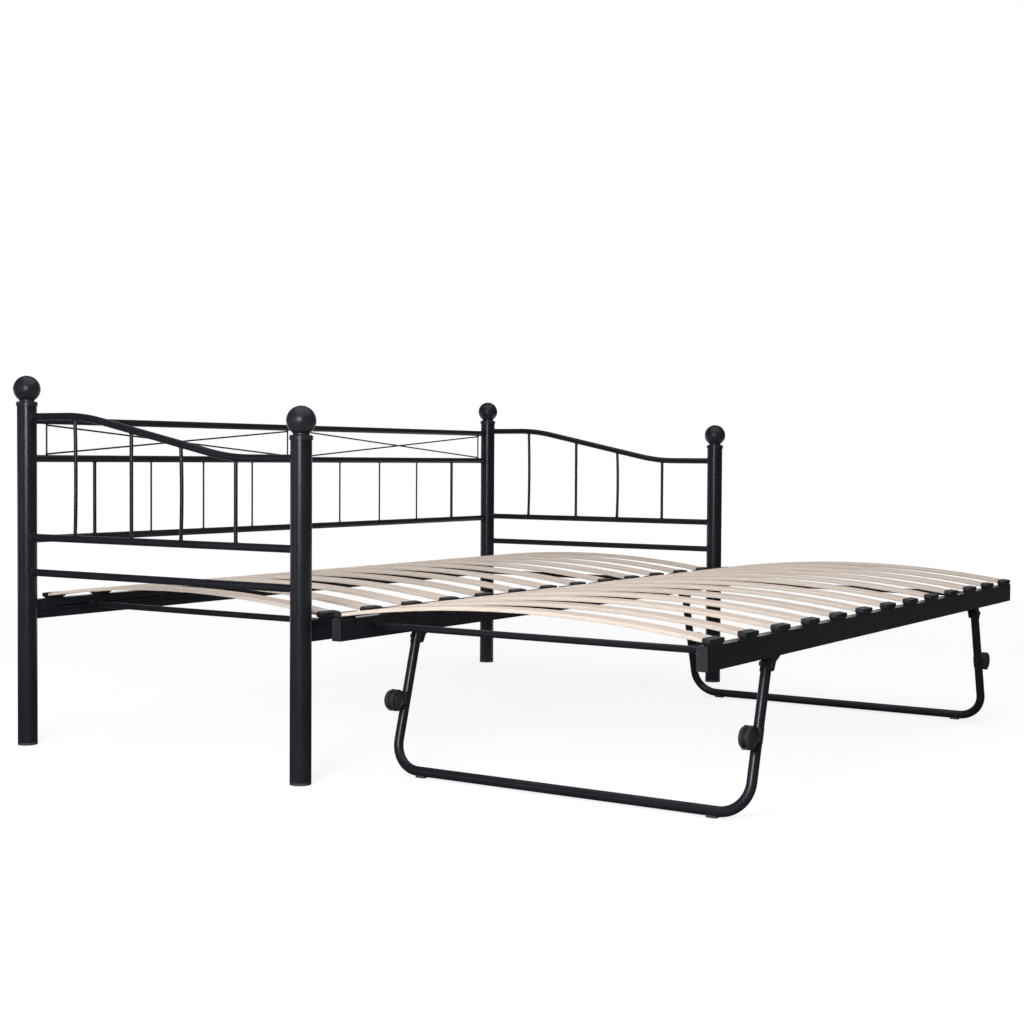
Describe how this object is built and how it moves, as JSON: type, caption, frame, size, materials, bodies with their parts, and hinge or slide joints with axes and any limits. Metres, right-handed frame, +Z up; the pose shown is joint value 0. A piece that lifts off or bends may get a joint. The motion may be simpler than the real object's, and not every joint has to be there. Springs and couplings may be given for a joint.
{
  "type": "trundle bed",
  "caption": "Metal daybed with ball-topped posts and a sprung slat base, beside a matching low trundle that stands raised on folding U-shaped legs with swivel castors.",
  "frame": {"origin": "centre of the whole footprint, on the floor", "axes": "+X along the length of both beds, +Y from the trundle towards the daybed's back panel, +Z up"},
  "size_m": [2.116, 1.9068, 0.917],
  "materials": {
    "powder_coat": "black powder coat, semi-gloss",
    "slat_wood": "pale birch plywood, satin lacquer",
    "black_plastic": "moulded black plastic, matt",
    "finial_gloss": "black, glossy",
    "dark_fastener": "black oxide steel",
    "castor_rubber": "hard black nylon, matt"
  },
  "bodies": {
    "daybed": {"post_rear_left": "powder_coat", "post_rear_right": "powder_coat", "post_front_left": "powder_coat", "post_front_right": "powder_coat", "finial_rear_left": "finial_gloss", "finial_rear_right": "finial_gloss", "finial_front_left": "finial_gloss", "finial_front_right": "finial_gloss", "foot_caps": "black_plastic", "end_top_rail_left": "powder_coat", "end_lower_rail_left": "powder_coat", "end_middle_rail_left": "powder_coat", "end_spindles_left": "powder_coat", "end_top_rail_right": "powder_coat", "end_lower_rail_right": "powder_coat", "end_middle_rail_right": "powder_coat", "end_spindles_right": "powder_coat", "back_top_rail": "powder_coat", "back_middle_rail": "powder_coat", "back_lower_rail": "powder_coat", "back_spindles": "powder_coat", "back_cross_wires": "powder_coat", "back_wire_uprights": "powder_coat", "back_rail_studs": "dark_fastener", "back_rail_screws": "dark_fastener", "bed_rail_front": "powder_coat", "bed_rail_rear": "powder_coat", "bed_cross_tube_left": "powder_coat", "bed_cross_tube_right": "powder_coat", "bed_rail_brackets": "powder_coat", "bed_rail_bolts": "dark_fastener", "bed_slats": "slat_wood", "bed_slat_caps_front": "black_plastic", "bed_slat_caps_rear": "black_plastic"},
    "trundle": {"trundle_rail_front": "powder_coat", "trundle_rail_rear": "powder_coat", "trundle_cross_tube_left": "powder_coat", "trundle_cross_tube_right": "powder_coat", "trundle_end_caps": "black_plastic", "trundle_slats": "slat_wood", "trundle_slat_caps_front": "black_plastic", "trundle_slat_caps_rear": "black_plastic", "leg_brackets": "powder_coat", "leg_rivets": "dark_fastener"},
    "leg_left": {"leg_tube_left": "powder_coat", "leg_glides_left": "black_plastic", "castor_saddles_left": "black_plastic", "castor_screws_left": "dark_fastener"},
    "leg_right": {"leg_tube_right": "powder_coat", "leg_glides_right": "black_plastic", "castor_saddles_right": "black_plastic", "castor_screws_right": "dark_fastener"},
    "castor_rear_left": {"castor_hood_rear_left": "black_plastic"},
    "wheels_rear_left": {"castor_wheels_rear_left": "castor_rubber"},
    "castor_rear_right": {"castor_hood_rear_right": "black_plastic"},
    "wheels_rear_right": {"castor_wheels_rear_right": "castor_rubber"},
    "castor_front_left": {"castor_hood_front_left": "black_plastic"},
    "wheels_front_left": {"castor_wheels_front_left": "castor_rubber"},
    "castor_front_right": {"castor_hood_front_right": "black_plastic"},
    "wheels_front_right": {"castor_wheels_front_right": "castor_rubber"}
  },
  "joints": [
    {"name": "trundle_slide", "type": "slide", "parent": "daybed", "child": "trundle", "axis": [0, -1, 0], "range_m": [-0.05, 0.9]},
    {"name": "leg_fold_left", "type": "hinge", "parent": "trundle", "child": "leg_left", "pos_m": [-0.729, -0.5001, 0.307], "axis": [0, -1, 0], "range_deg": [0, 105]},
    {"name": "leg_fold_right", "type": "hinge", "parent": "trundle", "child": "leg_right", "pos_m": [0.635, -0.5001, 0.307], "axis": [0, 1, 0], "range_deg": [0, 105]},
    {"name": "castor_swivel_rear_left", "type": "hinge", "parent": "leg_left", "child": "castor_rear_left", "pos_m": [-0.78824, -0.0616, 0.17199], "axis": [-0.9627, 0, 0.2706], "continuous": true},
    {"name": "wheel_spin_rear_left", "type": "hinge", "parent": "castor_rear_left", "child": "wheels_rear_left", "pos_m": [-0.8154, -0.0616, 0.16924], "axis": [0, 1, 0], "continuous": true},
    {"name": "castor_swivel_rear_right", "type": "hinge", "parent": "leg_right", "child": "castor_rear_right", "pos_m": [0.69424, -0.0616, 0.17199], "axis": [0.9627, 0, 0.2706], "continuous": true},
    {"name": "wheel_spin_rear_right", "type": "hinge", "parent": "castor_rear_right", "child": "wheels_rear_right", "pos_m": [0.7214, -0.0616, 0.16924], "axis": [0, 1, 0], "continuous": true},
    {"name": "castor_swivel_front_left", "type": "hinge", "parent": "leg_left", "child": "castor_front_left", "pos_m": [-0.78824, -0.9386, 0.17199], "axis": [-0.9627, 0, 0.2706], "continuous": true},
    {"name": "wheel_spin_front_left", "type": "hinge", "parent": "castor_front_left", "child": "wheels_front_left", "pos_m": [-0.8154, -0.9386, 0.16924], "axis": [0, 1, 0], "continuous": true},
    {"name": "castor_swivel_front_right", "type": "hinge", "parent": "leg_right", "child": "castor_front_right", "pos_m": [0.69424, -0.9386, 0.17199], "axis": [0.9627, 0, 0.2706], "continuous": true},
    {"name": "wheel_spin_front_right", "type": "hinge", "parent": "castor_front_right", "child": "wheels_front_right", "pos_m": [0.7214, -0.9386, 0.16924], "axis": [0, 1, 0], "continuous": true}
  ]
}
